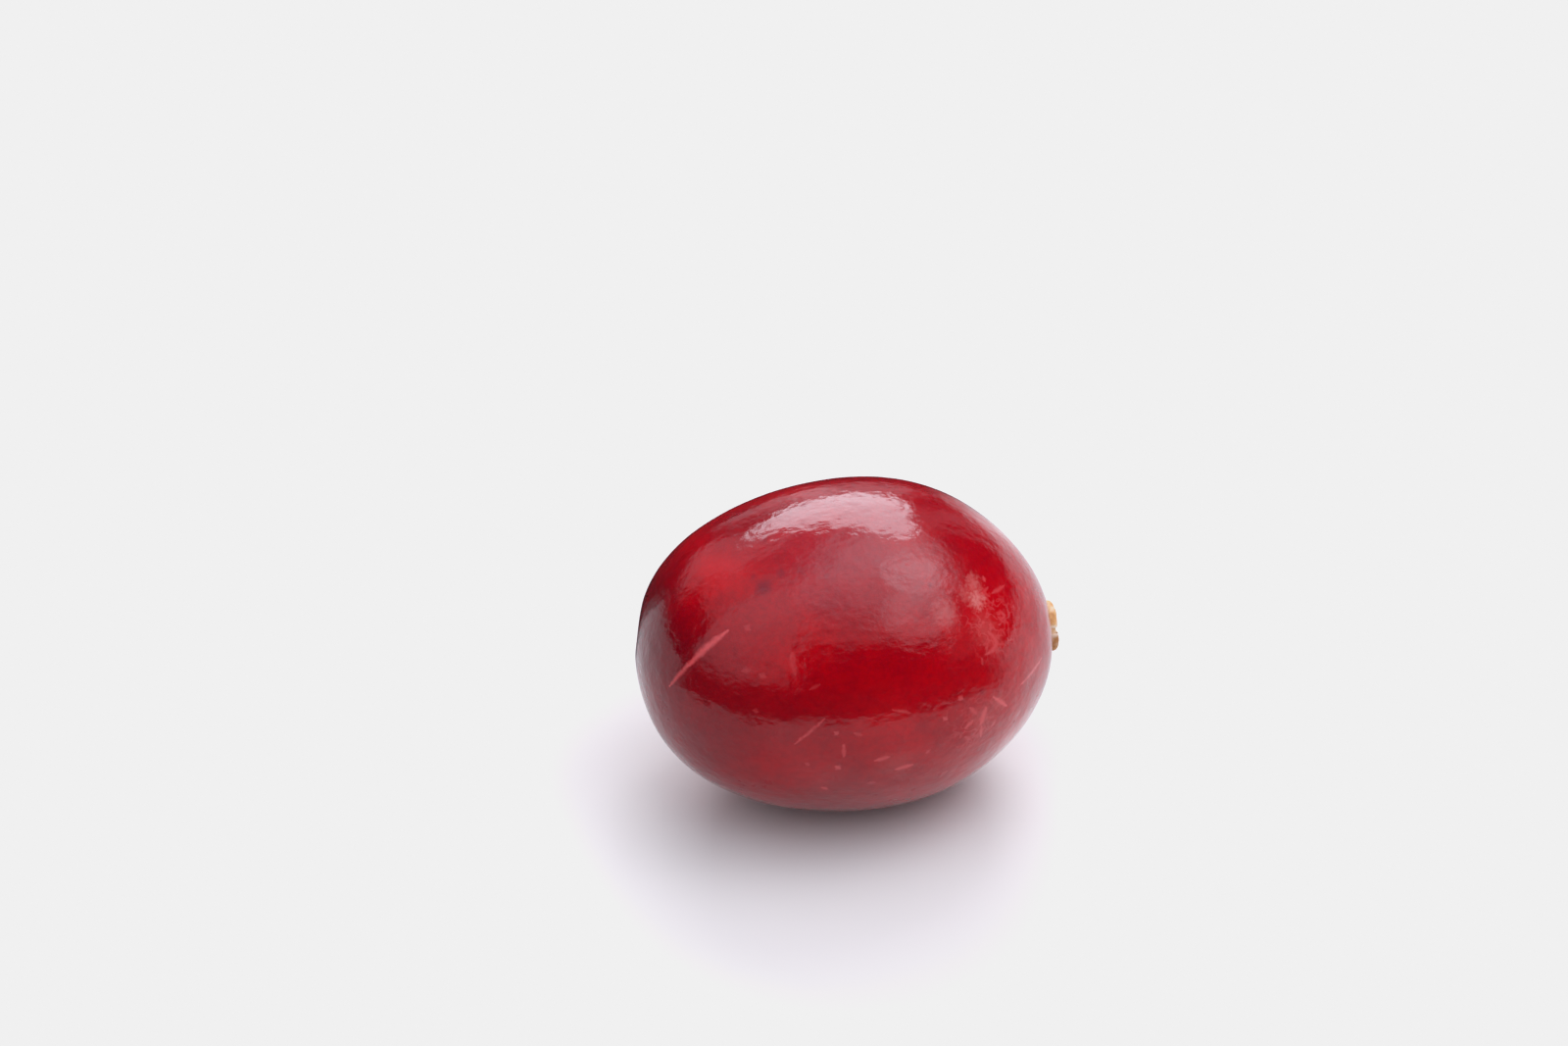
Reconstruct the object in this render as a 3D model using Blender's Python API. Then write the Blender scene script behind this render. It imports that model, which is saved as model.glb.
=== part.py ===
# A fresh cranberry lying on its side: one round-sectioned fruit, and the dried calyx set in its end.
# Metres, +Z up. +X runs along the berry to the calyx, and the origin is on the surface it rests on,
# under the middle of its box.

import random
from math import cos, exp, pi, radians, sin, sqrt, tau

import bmesh
import bpy
from mathutils import Vector

# The fruit: a long round body whose stem end is blunter than its calyx end
HALF_LENGTH = 0.01033  # middle of the body to either end, before the ends are hollowed
HALF_WIDTH = 0.00817  # radius of the round section at the middle
TAPER = 0.042  # share by which the section grows towards the calyx end
END_FULLNESS = 0.039  # share by which both ends are fuller than an ellipsoid's
STEM_BLUNTNESS = 0.137  # share by which the stem end is fuller still, and the calyx end slimmer
AXIS_BOW = 0.000146  # how far both ends lean to -Y of a straight axis
END_SHIFT = Vector((0.0, -0.000135, -0.00015))  # calyx end off the axis, with the stem end opposite
REST_DEPTH = 0.00020  # height of the sliver that the small flat spot takes off below

# The stem end: a shallow dimple where the stalk came away, turned a little to the back and up
DIMPLE_CENTRE_Y = 0.0024
DIMPLE_CENTRE_Z = 0.0009
DIMPLE_RADIUS = 0.00078
DIMPLE_DEPTH = 0.00034

# The calyx: a dry ring with pointed lobes folded in over a small pit
CALYX_RADIUS = 0.00132
CALYX_HEIGHT = 0.00132
CALYX_PROUD = 0.00056  # how far its crest stands out of the skin round it
CALYX_LEAN = 0.00016  # how far its wall leans in between the skin and the crest
CALYX_EDGE = 0.00012  # rounding of the base's and the crest's outer edges
CALYX_DROOP = 0.00014  # how far the lobes' tips sink below the crest
NOTCH_DIP = 0.00016  # how far the crest sinks between the lobes
PIT_DEPTH = 0.00060
PIT_NARROWING = 0.94  # share of the opening's width left at the pit's floor
LOBE_COUNT = 4
LOBE_TIP_RADIUS = 0.00036
NOTCH_RADIUS = 0.00092  # how far out the gaps between the lobes reach
LOBE_UNEVENNESS = 0.18
CALYX_SEED = 5

# The socket that the calyx sits in, and the slight flattening of the skin round it
FLATTENING = 0.00016
FLATTENING_RADIUS = 0.0026
SEAT_GAP = 0.0003
LIP_RADIUS = 0.00025
LIP_SLOPE = radians(14)  # slope of the skin where the lip begins

# How finely the surfaces are divided
AROUND = 48
END_STEP = radians(2.2)
BODY_STEP = radians(4.6)
LIP_STEPS = 6
CALYX_AROUND = 40

# Colours are linear, read from the photograph's even patches
SKIN_COLOUR = (0.262, 0.010, 0.017, 1.0)
SKIN_ROUGHNESS = 0.28
CALYX_COLOUR = (0.480, 0.300, 0.130, 1.0)
CALYX_ROUGHNESS = 0.75


def clear_scene():
    for old in list(bpy.data.objects):
        bpy.data.objects.remove(old, do_unlink=True)


def make_material(name, colour, roughness):
    material = bpy.data.materials.new(name)
    material.use_nodes = True
    shader = material.node_tree.nodes["Principled BSDF"]
    shader.inputs["Base Color"].default_value = colour
    shader.inputs["Roughness"].default_value = roughness
    shader.inputs["Metallic"].default_value = 0.0
    return material


def skin_material():
    return make_material("cranberry_skin", SKIN_COLOUR, SKIN_ROUGHNESS)


def calyx_material():
    return make_material("dried_calyx", CALYX_COLOUR, CALYX_ROUGHNESS)


def section_radius(station):
    # Station runs from -1 at the stem end to 1 at the calyx end
    fullness = 1 + TAPER * station + END_FULLNESS * station**2 - STEM_BLUNTNESS * station**3
    return HALF_WIDTH * sqrt(max(0.0, 1 - station**2)) * fullness


def axis_offset(station):
    bow = Vector((0.0, AXIS_BOW * (station**2 - 1 / 3), 0.0))
    return END_SHIFT * station**3 - bow


def angle_where_radius(target):
    # Angle along the body at which the calyx end has narrowed to the target radius
    wide = pi / 2
    narrow = pi
    for _ in range(60):
        middle = (wide + narrow) / 2
        if section_radius(-cos(middle)) > target:
            wide = middle
        else:
            narrow = middle
    return middle


def spread(start, stop, step):
    # Even values from start up to, but not including, stop
    count = max(1, round((stop - start) / step))
    return [start + (stop - start) * index / count for index in range(count)]


def socket_radius():
    return CALYX_RADIUS + SEAT_GAP


def socket_depth():
    return CALYX_HEIGHT - CALYX_PROUD + SEAT_GAP


def rim_angle():
    return angle_where_radius(socket_radius() + LIP_RADIUS * (1 + sin(LIP_SLOPE)))


def distance_along(angle):
    # The body is a little flattened towards the middle of its calyx end
    station = -cos(angle)
    if station < 0:
        return HALF_LENGTH * station
    return HALF_LENGTH * station - FLATTENING * exp(-((section_radius(station) / FLATTENING_RADIUS) ** 2))


def lip_top():
    # Distance along the axis of the lip's highest point round the socket
    return distance_along(rim_angle()) + LIP_RADIUS * (1 - cos(LIP_SLOPE))


def skin_profile():
    # Rings from the stem end to the lip: distance along the axis, radius and the ring's centre
    near_stem = spread(END_STEP, radians(24), END_STEP)
    middle = spread(radians(24), radians(152), BODY_STEP)
    near_calyx = spread(radians(152), rim_angle(), END_STEP)
    rings = []
    for angle in near_stem + middle + near_calyx:
        station = -cos(angle)
        rings.append((distance_along(angle), section_radius(station), axis_offset(station)))
    return rings


def socket_profile():
    # A rounded lip, a straight wall and a flat floor
    centre = axis_offset(-cos(rim_angle()))
    lip_centre_x = lip_top() - LIP_RADIUS
    lip_centre_radius = socket_radius() + LIP_RADIUS
    rings = []
    for index in range(LIP_STEPS + 1):
        angle = LIP_SLOPE - (LIP_SLOPE + pi / 2) * index / LIP_STEPS
        x = lip_centre_x + LIP_RADIUS * cos(angle)
        rings.append((x, lip_centre_radius + LIP_RADIUS * sin(angle), centre))
    floor_x = lip_top() - socket_depth()
    rings.append((floor_x, socket_radius(), centre))
    rings.append((floor_x, socket_radius() / 2, centre))
    return rings


def dimple_shift(point):
    # The skin sinks along the axis in a soft round dimple at the stem end
    if point.x > 0:
        return Vector()
    away = sqrt((point.y - DIMPLE_CENTRE_Y) ** 2 + (point.z - DIMPLE_CENTRE_Z) ** 2)
    return Vector((DIMPLE_DEPTH * exp(-((away / DIMPLE_RADIUS) ** 2)), 0.0, 0.0))


def add_ring(mesh, x, radius, centre, around):
    ring = []
    for index in range(around):
        angle = tau * index / around
        point = Vector((x, radius * cos(angle), radius * sin(angle))) + centre
        ring.append(mesh.verts.new(point + dimple_shift(point)))
    return ring


def bridge(mesh, first, second):
    for index, vert in enumerate(first):
        after = (index + 1) % len(first)
        mesh.faces.new((vert, first[after], second[after], second[index]))


def close_with_fan(mesh, ring, point):
    tip = mesh.verts.new(point)
    for index, vert in enumerate(ring):
        mesh.faces.new((vert, ring[(index + 1) % len(ring)], tip))


def cut_flat_spot(mesh):
    # The berry rests on a small oval flat, cut level just above its lowest point
    lowest = min(vert.co.z for vert in mesh.verts)
    level = Vector((0.0, 0.0, lowest + REST_DEPTH))
    everything = mesh.verts[:] + mesh.edges[:] + mesh.faces[:]
    cut = bmesh.ops.bisect_plane(mesh, geom=everything, plane_co=level, plane_no=(0, 0, -1), clear_outer=True)
    rim = [item for item in cut["geom_cut"] if isinstance(item, bmesh.types.BMEdge)]
    bmesh.ops.edgeloop_fill(mesh, edges=rim)


def build_object(name, mesh, material):
    bmesh.ops.recalc_face_normals(mesh, faces=mesh.faces[:])
    data = bpy.data.meshes.new(name)
    mesh.to_mesh(data)
    mesh.free()
    data.shade_smooth()
    data.set_sharp_from_angle(angle=radians(40))
    data.materials.append(material)
    part = bpy.data.objects.new(name, data)
    bpy.context.scene.collection.objects.link(part)
    return part


def make_berry():
    mesh = bmesh.new()
    rings = []
    for x, radius, centre in skin_profile() + socket_profile():
        rings.append(add_ring(mesh, x, radius, centre, AROUND))
    for first, second in zip(rings, rings[1:]):
        bridge(mesh, first, second)
    stem_pole = Vector((-HALF_LENGTH, 0.0, 0.0)) + axis_offset(-1.0)
    close_with_fan(mesh, rings[0], stem_pole + dimple_shift(stem_pole))
    floor_x, _, floor_centre = socket_profile()[-1]
    close_with_fan(mesh, rings[-1], Vector((floor_x, 0.0, 0.0)) + floor_centre)
    cut_flat_spot(mesh)
    return build_object("berry", mesh, skin_material())


def lobe_widths():
    # The lobes are not quite alike: each has its own share of the turn and its own reach
    draw = random.Random(CALYX_SEED)
    shares = [1 + draw.uniform(-LOBE_UNEVENNESS, LOBE_UNEVENNESS) for _ in range(LOBE_COUNT)]
    reaches = [1 + draw.uniform(-LOBE_UNEVENNESS, LOBE_UNEVENNESS) for _ in range(LOBE_COUNT)]
    return [share / sum(shares) for share in shares], reaches


def lobe_at(turn):
    # For a turn from 0 to 1: nearness to the middle of a lobe, from 0 to 1, and that lobe's reach
    start = 0.0
    for share, reach in zip(*lobe_widths()):
        if turn < start + share:
            across = (turn - start) / share
            return 1 - abs(2 * across - 1), reach
        start += share
    return 0.0, 1.0


def calyx_profile(turn):
    # Height above the seat and radius of each ring, from the base round to the pit's floor
    nearness, reach = lobe_at(turn)
    opening = NOTCH_RADIUS - (NOTCH_RADIUS - LOBE_TIP_RADIUS * reach) * nearness
    crest = CALYX_HEIGHT - NOTCH_DIP * (1 - nearness) ** 2
    upper_radius = CALYX_RADIUS - CALYX_LEAN
    crest_radius = upper_radius - CALYX_EDGE
    floor_height = CALYX_HEIGHT - PIT_DEPTH
    return [
        (0.0, CALYX_RADIUS / 2),
        (0.0, CALYX_RADIUS - CALYX_EDGE),
        (CALYX_EDGE, CALYX_RADIUS),
        (CALYX_HEIGHT - CALYX_PROUD, CALYX_RADIUS),
        (crest - CALYX_EDGE, upper_radius),
        (crest - CALYX_EDGE / 3, upper_radius - CALYX_EDGE / 3),
        (crest, crest_radius),
        (crest - CALYX_DROOP / 3, (crest_radius + opening) / 2),
        (crest - CALYX_DROOP, opening),
        (floor_height, opening * PIT_NARROWING),
        (floor_height, opening / 2),
    ]


def make_calyx():
    mesh = bmesh.new()
    columns = [calyx_profile(index / CALYX_AROUND) for index in range(CALYX_AROUND)]
    rings = []
    for level in range(len(columns[0])):
        ring = []
        for index, column in enumerate(columns):
            height, radius = column[level]
            angle = tau * index / CALYX_AROUND
            ring.append(mesh.verts.new((height, radius * cos(angle), radius * sin(angle))))
        rings.append(ring)
    for first, second in zip(rings, rings[1:]):
        bridge(mesh, first, second)
    close_with_fan(mesh, rings[0], Vector())
    close_with_fan(mesh, rings[-1], Vector((CALYX_HEIGHT - PIT_DEPTH, 0.0, 0.0)))
    calyx = build_object("calyx", mesh, calyx_material())
    calyx.location = Vector((lip_top() + CALYX_PROUD - CALYX_HEIGHT, 0.0, 0.0))
    calyx.location += axis_offset(-cos(rim_angle()))
    return calyx


def stand_on_origin(parts):
    # Moves the parts together so that the origin is under the middle of their box
    corners = []
    for part in parts:
        corners += [part.location + vert.co for vert in part.data.vertices]
    low = Vector([min(corner[axis] for corner in corners) for axis in range(3)])
    high = Vector([max(corner[axis] for corner in corners) for axis in range(3)])
    for part in parts:
        part.location -= Vector(((low.x + high.x) / 2, (low.y + high.y) / 2, low.z))


def main():
    clear_scene()
    stand_on_origin([make_berry(), make_calyx()])


main()
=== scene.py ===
from functools import partial
from math import cos, pi, radians, sin, tau

import bmesh
import bpy
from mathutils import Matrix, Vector, noise
from mathutils.bvhtree import BVHTree


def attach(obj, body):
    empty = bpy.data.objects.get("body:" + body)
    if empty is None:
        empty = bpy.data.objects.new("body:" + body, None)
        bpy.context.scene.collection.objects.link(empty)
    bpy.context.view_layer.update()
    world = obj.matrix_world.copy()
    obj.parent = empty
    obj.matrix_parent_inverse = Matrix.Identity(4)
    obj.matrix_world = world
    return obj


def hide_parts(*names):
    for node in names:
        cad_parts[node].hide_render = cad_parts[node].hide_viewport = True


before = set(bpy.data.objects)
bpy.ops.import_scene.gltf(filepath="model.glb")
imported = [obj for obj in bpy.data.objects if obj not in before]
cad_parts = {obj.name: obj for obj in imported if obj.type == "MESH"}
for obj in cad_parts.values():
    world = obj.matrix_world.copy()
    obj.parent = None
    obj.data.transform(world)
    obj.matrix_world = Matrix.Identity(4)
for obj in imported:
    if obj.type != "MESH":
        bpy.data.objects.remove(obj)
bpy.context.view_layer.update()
mm = 0.001

# Kinds of node and settings that come up often
maths, vectors = "ShaderNodeMath", "ShaderNodeVectorMath"
splits, joins = "ShaderNodeSeparateXYZ", "ShaderNodeCombineXYZ"
noises, ranges, mixes = "ShaderNodeTexNoise", "ShaderNodeMapRange", "ShaderNodeMix"
easing = {"interpolation_type": "SMOOTHSTEP"}
colours = {"data_type": "RGBA", "out": 2}
noiseMiddle = (0.5, 0.5, 0.5)


# Small helpers used by several pieces

def hexColour(code):
    # sRGB hex to the linear colour that the shaders take
    parts = [int(code[i:i + 2], 16) / 255 for i in (1, 3, 5)]
    return tuple(c / 12.92 if c <= 0.04045 else ((c + 0.055) / 1.055) ** 2.4 for c in parts) + (1.0,)


def addNode(tree, kind, inputs=(), out=0, **settings):
    # Adds a node, sets its options, then fills or links its sockets by place or by name
    node = tree.nodes.new(kind)
    for name, value in settings.items():
        setattr(node, name, value)
    pairs = inputs.items() if isinstance(inputs, dict) else enumerate(inputs)
    for place, value in pairs:
        if isinstance(value, bpy.types.NodeSocket):
            tree.links.new(value, node.inputs[place])
        else:
            node.inputs[place].default_value = value
    return node.outputs[out] if len(node.outputs) else node


def newMaterial(name):
    material = bpy.data.materials.new(name)
    material.use_nodes = True
    return material, material.node_tree, material.node_tree.nodes["Principled BSDF"]


def inMillimetres(tree, middle):
    # Object coordinates counted in mm from the given middle
    spot = addNode(tree, "ShaderNodeTexCoord", out=3)
    return addNode(tree, "ShaderNodeMapping", {"Vector": spot, "Location": tuple(-middle / mm),
                   "Scale": (1000, 1000, 1000)})


def bell(tree, distance, width):
    # 1 where the distance is nought, falling off like a bell
    share = addNode(tree, maths, [distance, width], operation="DIVIDE")
    squared = addNode(tree, maths, [share, share], operation="MULTIPLY")
    minus = addNode(tree, maths, [squared, -1.0], operation="MULTIPLY")
    return addNode(tree, maths, [minus], operation="EXPONENT")


def shapeTree(name, sizes):
    # A Geometry Nodes tree with one named input for each size, and the sphere that its shape starts from
    tree = bpy.data.node_groups.new(name, "GeometryNodeTree")
    kinds = {float: "NodeSocketFloat", int: "NodeSocketInt", tuple: "NodeSocketVector"}
    for label, value in sizes.items():
        tree.interface.new_socket(label, in_out="INPUT", socket_type=kinds[type(value)])
    tree.interface.new_socket("Shape", in_out="OUTPUT", socket_type="NodeSocketGeometry")
    size = {socket.name: socket for socket in tree.nodes.new("NodeGroupInput").outputs if socket.name}
    ball = addNode(tree, "GeometryNodeMeshUVSphere", {"Segments": size["Segments"], "Rings": size["Rings"],
                   "Radius": 1.0})
    spot = addNode(tree, "GeometryNodeInputPosition")
    onBall = addNode(tree, splits, [spot]).node.outputs
    return tree, size, ball, onBall


def finishTree(tree, shape, material):
    smooth = addNode(tree, "GeometryNodeSetShadeSmooth", {"Geometry": shape})
    real = addNode(tree, "GeometryNodeRealizeInstances", {"Geometry": smooth})
    coated = addNode(tree, "GeometryNodeSetMaterial", {"Geometry": real, "Material": material})
    addNode(tree, "NodeGroupOutput", [coated])
    return tree


def growPiece(name, tree, sizes):
    # Evaluates the tree on an empty carrier and keeps the result as a plain mesh
    carrier = bpy.data.objects.new(name + "Carrier", bpy.data.meshes.new(name + "Carrier"))
    grow = carrier.modifiers.new("grow", "NODES")
    grow.node_group = tree
    for item in tree.interface.items_tree:
        if item.in_out == "INPUT":
            grow[item.identifier] = sizes[item.name]
    bpy.context.scene.collection.objects.link(carrier)
    bpy.context.view_layer.update()
    finished = carrier.evaluated_get(bpy.context.evaluated_depsgraph_get())
    mesh = bpy.data.meshes.new_from_object(finished)
    bpy.data.objects.remove(carrier, do_unlink=True)
    mesh.name = name
    piece = bpy.data.objects.new(name, mesh)
    bpy.context.scene.collection.objects.link(piece)
    return piece


def fromMeshCode(name, shape, material):
    # Turns a bmesh into a smooth-shaded object
    bmesh.ops.remove_doubles(shape, verts=shape.verts[:], dist=0.0005 * mm)
    bmesh.ops.recalc_face_normals(shape, faces=shape.faces[:])
    mesh = bpy.data.meshes.new(name)
    shape.to_mesh(mesh)
    shape.free()
    mesh.shade_smooth()
    mesh.materials.append(material)
    made = bpy.data.objects.new(name, mesh)
    bpy.context.scene.collection.objects.link(made)
    return made


# Camera, at the photograph's viewing angle

camera = {
    "turn": radians(12),        # the calyx end is turned away from the lens
    "height": radians(35),
    "distance": 312 * mm,
    "lens": 146.6,
    "sensor": 36.0,
    "aside": -2.997 * mm,       # from the middle of the berry, along the picture's width
    "above": 5.970 * mm,        # and along its height
    "frame": (1600, 1067),
    "clip": (10 * mm, 20.0),
}

berryMiddle = Vector((-0.0762, -0.0487, 7.98)) * mm
lookRight = Vector((cos(camera["turn"]), -sin(camera["turn"]), 0))
lookFlat = Vector((sin(camera["turn"]), cos(camera["turn"]), 0))
lookAlong = lookFlat * cos(camera["height"]) + Vector((0, 0, -sin(camera["height"])))
lookUp = lookFlat * sin(camera["height"]) + Vector((0, 0, cos(camera["height"])))
lensPlace = (berryMiddle + lookRight * camera["aside"] + lookUp * camera["above"]
             - lookAlong * camera["distance"])


def makeCamera():
    data = bpy.data.cameras.new("studioCamera")
    data.lens = camera["lens"]
    data.sensor_width = camera["sensor"]
    data.clip_start, data.clip_end = camera["clip"]
    body = bpy.data.objects.new("studioCamera", data)
    bpy.context.scene.collection.objects.link(body)
    body.location = lensPlace
    body.rotation_mode = "QUATERNION"
    body.rotation_quaternion = lookAlong.to_track_quat("-Z", "Y")
    bpy.context.scene.camera = body


def pictureRay(across, down):
    # Direction from the lens through a point of the 1600 x 1067 picture
    width, height = camera["frame"]
    focal = camera["lens"] / camera["sensor"] * width
    right = (across - width / 2) / focal
    up = (height / 2 - down) / focal
    return (lookAlong + lookRight * right + lookUp * up).normalized()


makeCamera()
print("camera made")


# The skin: one closed body whose section follows the fruit's own rule along its length

berry = {
    "Segments": 288,
    "Rings": 176,
    "Half length": 10.33 * mm,
    "Half width": 8.17 * mm,
    "Taper": 0.042,                  # share by which the section grows towards the calyx
    "End fullness": 0.039,
    "Stem bluntness": 0.137,
    "Axis bow": 0.146 * mm,
    "End shift": (0.0, -0.135 * mm, -0.15 * mm),
    "Middle": tuple(berryMiddle),
    "Calyx flattening": 0.16 * mm,
    "Flattening radius": 2.6 * mm,
    "Seat radius": 1.22 * mm,        # the hollow that the calyx grows out of
    "Seat floor share": 0.72,        # share of that radius that lies at full depth
    "Seat depth": 0.62 * mm,
    "Crease radius": 1.42 * mm,      # shallow groove where the skin meets the dry ring
    "Crease width": 0.17 * mm,
    "Crease depth": 0.10 * mm,
    "Dimple centre": (0.0, 2.4 * mm, 0.9 * mm),
    "Dimple radius": 0.78 * mm,
    "Dimple depth": 0.34 * mm,
    "Swell size": 3.6 * mm,          # slow unevenness of a real fruit
    "Swell depth": 0.050 * mm,
    "Rest softness": 0.05 * mm,      # how softly the flat spot turns into the round skin
    "Seed": 3.0,
}


def berryTree():
    tree, size, ball, (ballX, ballY, station) = shapeTree("berryShape", berry)
    add = partial(addNode, tree)
    # fullness = 1 + station * (taper + station * (end fullness - stem bluntness * station))
    blunt = add(maths, [size["Stem bluntness"], station], operation="MULTIPLY")
    inner = add(maths, [size["End fullness"], blunt], operation="SUBTRACT")
    middle = add(maths, [station, inner, size["Taper"]], operation="MULTIPLY_ADD")
    fullness = add(maths, [station, middle, 1.0], operation="MULTIPLY_ADD")
    radial = add(maths, [fullness, size["Half width"]], operation="MULTIPLY")
    # the axis bows to one side, and its two ends part to opposite sides
    squared = add(maths, [station, station], operation="MULTIPLY")
    cubed = add(maths, [squared, station], operation="MULTIPLY")
    lean = add(maths, [squared, 1 / 3], operation="SUBTRACT")
    bow = add(maths, [lean, size["Axis bow"]], operation="MULTIPLY")
    bowAside = add(joins, [0.0, bow, 0.0])
    ends = add(vectors, {0: size["End shift"], "Scale": cubed}, operation="SCALE")
    axis = add(vectors, [ends, bowAside], operation="SUBTRACT")
    # section point, and its distance from the axis
    disc = add(joins, [0.0, ballX, ballY])
    section = add(vectors, {0: disc, "Scale": radial}, operation="SCALE")
    reach = add(vectors, [section], out=1, operation="LENGTH")
    # the calyx end is a little flattened, with a crease and a hollow in it
    fading = bell(tree, reach, size["Flattening radius"])
    flat = add(maths, [fading, size["Calyx flattening"]], operation="MULTIPLY")
    seatEdge = add(maths, [size["Seat radius"], size["Seat floor share"]], operation="MULTIPLY")
    seat = add(ranges, {"Value": reach, "From Min": seatEdge, "From Max": size["Seat radius"],
               "To Min": size["Seat depth"], "To Max": 0.0}, interpolation_type="SMOOTHERSTEP")
    fromCrease = add(maths, [reach, size["Crease radius"]], operation="SUBTRACT")
    creased = bell(tree, fromCrease, size["Crease width"])
    crease = add(maths, [creased, size["Crease depth"]], operation="MULTIPLY")
    sunk = add(maths, [flat, seat], operation="ADD")
    sunkAll = add(maths, [sunk, crease], operation="ADD")
    calyxHalf = add(maths, [station, 0.0], operation="GREATER_THAN")
    sunkEnd = add(maths, [sunkAll, calyxHalf], operation="MULTIPLY")
    # the stem end sinks in a soft round dimple
    body = add(vectors, [section, axis], operation="ADD")
    away = add(vectors, [body, size["Dimple centre"]], out=1, operation="DISTANCE")
    dimpled = bell(tree, away, size["Dimple radius"])
    dimple = add(maths, [dimpled, size["Dimple depth"]], operation="MULTIPLY")
    stemHalf = add(maths, [station, 0.0], operation="LESS_THAN")
    dimpleEnd = add(maths, [dimple, stemHalf], operation="MULTIPLY")
    # distance along the fruit, then the whole point
    along = add(maths, [station, size["Half length"], dimpleEnd], operation="MULTIPLY_ADD")
    alongAll = add(maths, [along, sunkEnd], operation="SUBTRACT")
    forward = add(joins, [alongAll, 0.0, 0.0])
    whole = add(vectors, [body, forward], operation="ADD")
    placed = add(vectors, [whole, size["Middle"]], operation="ADD")
    fruit = add("GeometryNodeSetPosition", {"Geometry": ball, "Position": placed})
    # slow swells, always inwards so that the fruit keeps within its own size
    here = add("GeometryNodeInputPosition")
    scaled = add(maths, [1.0, size["Swell size"]], operation="DIVIDE")
    swell = add(noises, {"Vector": here, "W": size["Seed"], "Scale": scaled, "Detail": 1.5,
                "Roughness": 0.45}, noise_dimensions="4D")
    inward = add(ranges, {"Value": swell, "From Min": 0.25, "From Max": 0.75, "To Min": -1.0,
                 "To Max": 0.0})
    depth = add(maths, [inward, size["Swell depth"]], operation="MULTIPLY")
    outward = add("GeometryNodeInputNormal")
    push = add(vectors, {0: outward, "Scale": depth}, operation="SCALE")
    swollen = add("GeometryNodeSetPosition", {"Geometry": fruit, "Offset": push})
    # the small flat spot that it rests on
    now = add("GeometryNodeInputPosition")
    nowX, nowY, nowZ = add(splits, [now]).node.outputs
    level = add(maths, [nowZ, 0.0, size["Rest softness"]], operation="SMOOTH_MAX")
    rested = add(joins, [nowX, nowY, level])
    resting = add("GeometryNodeSetPosition", {"Geometry": swollen, "Position": rested})
    return finishTree(tree, resting, skinMaterial)


skinMaterial, skinTree, skinShader = newMaterial("waxedCranberrySkin")
berrySkin = growPiece("berrySkin", berryTree(), berry)
print("skin shaped,", len(berrySkin.data.polygons), "faces")

skinBush = BVHTree.FromObject(berrySkin, bpy.context.evaluated_depsgraph_get())


def onSkin(*at):
    # Two numbers are a point of the 1600 x 1067 picture, three are a way out from the middle of the berry
    if len(at) == 2:
        return skinBush.ray_cast(lensPlace, pictureRay(*at))[0]
    return skinBush.ray_cast(berryMiddle, Vector(at).normalized())[0]


# The calyx: a dry ring with a pit, and four unlike sepals folded in over it

calyx = {
    "seat": Vector((9.96, -0.2595, 7.841)) * mm,  # middle of the ring, level with the skin round it
    "around": 120,
    "seed": 11,
    # height above the skin and radius, in mm, from under the ring, up its wall, over the crest, into the pit
    "profile": [(-0.45, 0.0), (-0.45, 0.45), (-0.43, 0.85), (-0.32, 1.13), (-0.12, 1.21), (0.04, 1.22),
                (0.15, 1.18), (0.22, 1.10), (0.22, 1.01), (0.12, 0.94), (-0.04, 0.89), (-0.20, 0.83),
                (-0.33, 0.70), (-0.37, 0.50), (-0.33, 0.30), (-0.24, 0.19), (-0.22, 0.12), (-0.28, 0.05),
                (-0.30, 0.0)],
    "steps": 4,                       # rings between two points of the profile
    "crest": (-0.1, 0.2),             # mm, heights between which the wobble and the wrinkles set in
    "crestWobble": 0.112,             # mm, a slow rise and fall
    "outlineWobble": 0.035,           # share of the radius
    "wrinkle": 0.035,                 # mm, in height
    "wallWrinkle": 0.014,             # mm, in radius, but not at the poles
    "poles": 0.2,                     # mm
    "slowRate": 2.2,                  # how fast the crest, the outline and the wrinkles change round the ring
    "outlineRate": 1.6,
    "fineRates": (6, 7, 7),
    "dark": "#A9693A",
    "tan": "#CB9558",
    "cream": "#E8C6A2",
    "weatheredAndShaded": "#7E4C24",
    "edge": "#F2DCC2",
    "pit": "#6A2C16",
    "browningAndShade": 0.75,                 # how far the brownest, lowest sepal turns brown: part weathering, part painted shade
    "rimStart": 0.72,                 # share of a sepal's half width where its pale edge sets in
    "pitHeights": (-0.02, -0.26),     # mm, between which the colour turns to the pit's
}


def smoothProfile(points, steps):
    # A curve through all the points, with the given number of steps between two of them
    dense = []
    for i in range(len(points) - 1):
        a, b, c, d = points[max(i - 1, 0)], points[i], points[i + 1], points[min(i + 2, len(points) - 1)]
        for k in range(steps):
            t = k / steps
            dense.append(tuple(0.5 * (2 * q + (r - p) * t + (2 * p - 5 * q + 4 * r - s) * t**2
                                      + (3 * q - p - 3 * r + s) * t**3) for p, q, r, s in zip(a, b, c, d)))
    return dense + [points[-1]]


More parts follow.
